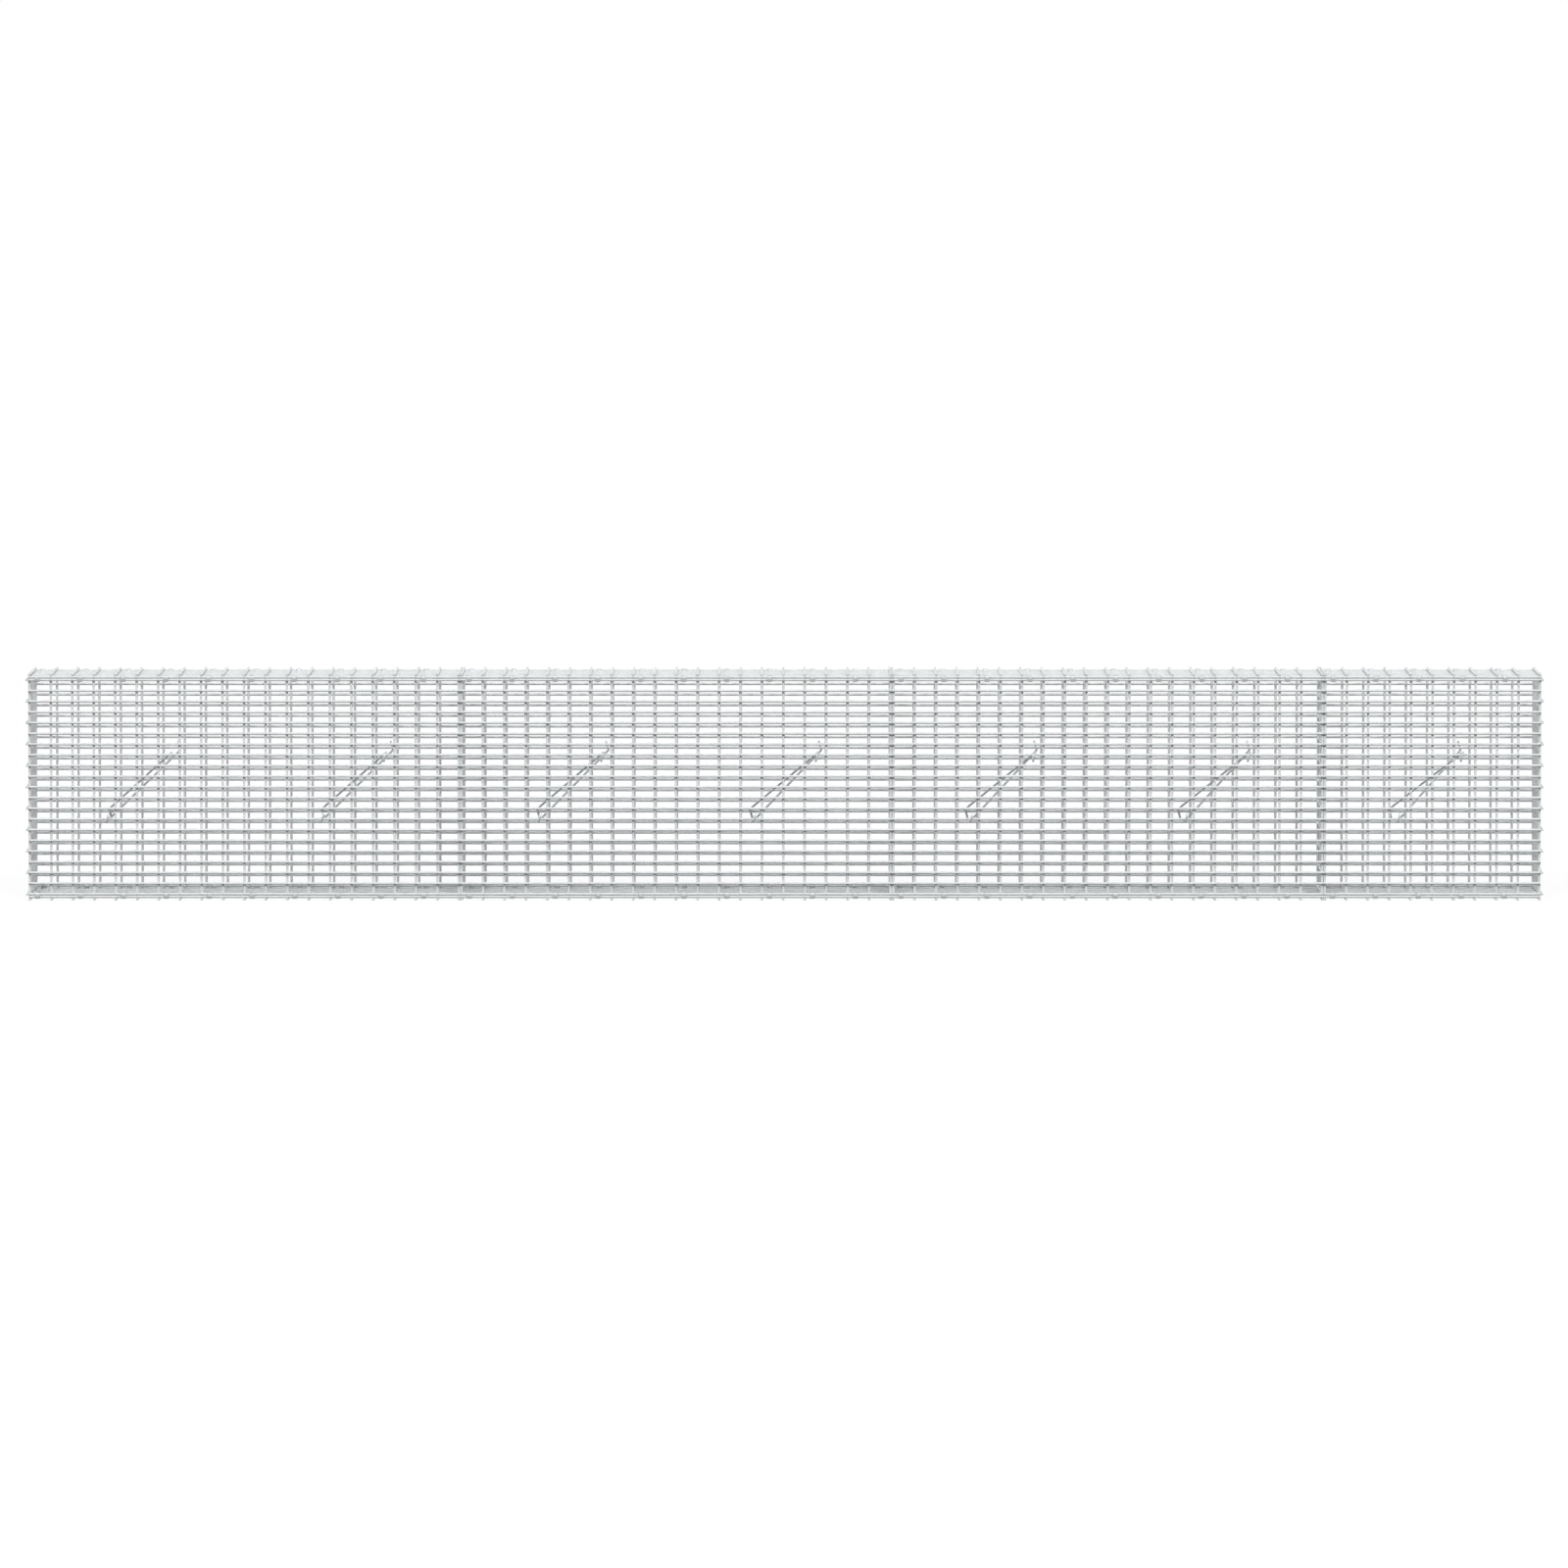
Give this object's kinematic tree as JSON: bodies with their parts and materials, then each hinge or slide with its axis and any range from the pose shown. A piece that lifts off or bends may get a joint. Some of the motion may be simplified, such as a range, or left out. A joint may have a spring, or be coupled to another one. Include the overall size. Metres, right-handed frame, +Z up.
{
  "type": "gabion wall of empty welded-mesh baskets with lids",
  "caption": "Long, low gabion wall of joined galvanized wire-mesh baskets, empty and closed by lids, with dividing walls and crossed tie rods inside.",
  "frame": {"origin": "on the ground, under the middle of the wall", "axes": "+X along the wall towards its short bay, -Y towards the front face, +Z up"},
  "size_m": [7.0736, 0.5566, 1.0606],
  "materials": {
    "mesh_wire": "satin",
    "tie_rod": "satin",
    "clip_strip": "satin"
  },
  "bodies": {
    "root": {"front_panel_1": "mesh_wire", "front_panel_2": "mesh_wire", "front_panel_3": "mesh_wire", "front_panel_4": "mesh_wire", "back_panel_1": "mesh_wire", "back_panel_2": "mesh_wire", "back_panel_3": "mesh_wire", "back_panel_4": "mesh_wire", "lid_1": "mesh_wire", "lid_2": "mesh_wire", "lid_3": "mesh_wire", "lid_4": "mesh_wire", "floor_1": "mesh_wire", "floor_2": "mesh_wire", "floor_3": "mesh_wire", "floor_4": "mesh_wire", "left_end_panel": "mesh_wire", "right_end_panel": "mesh_wire", "divider_1": "mesh_wire", "divider_2": "mesh_wire", "divider_3": "mesh_wire", "tie_rods_1": "tie_rod", "tie_rods_2": "tie_rod", "tie_rods_3": "tie_rod", "tie_rods_4": "tie_rod", "tie_rods_5": "tie_rod", "tie_rods_6": "tie_rod", "tie_rods_7": "tie_rod", "front_lid_clips": "clip_strip", "back_lid_clips": "clip_strip", "front_floor_clips": "clip_strip", "back_floor_clips": "clip_strip"}
  },
  "joints": []
}
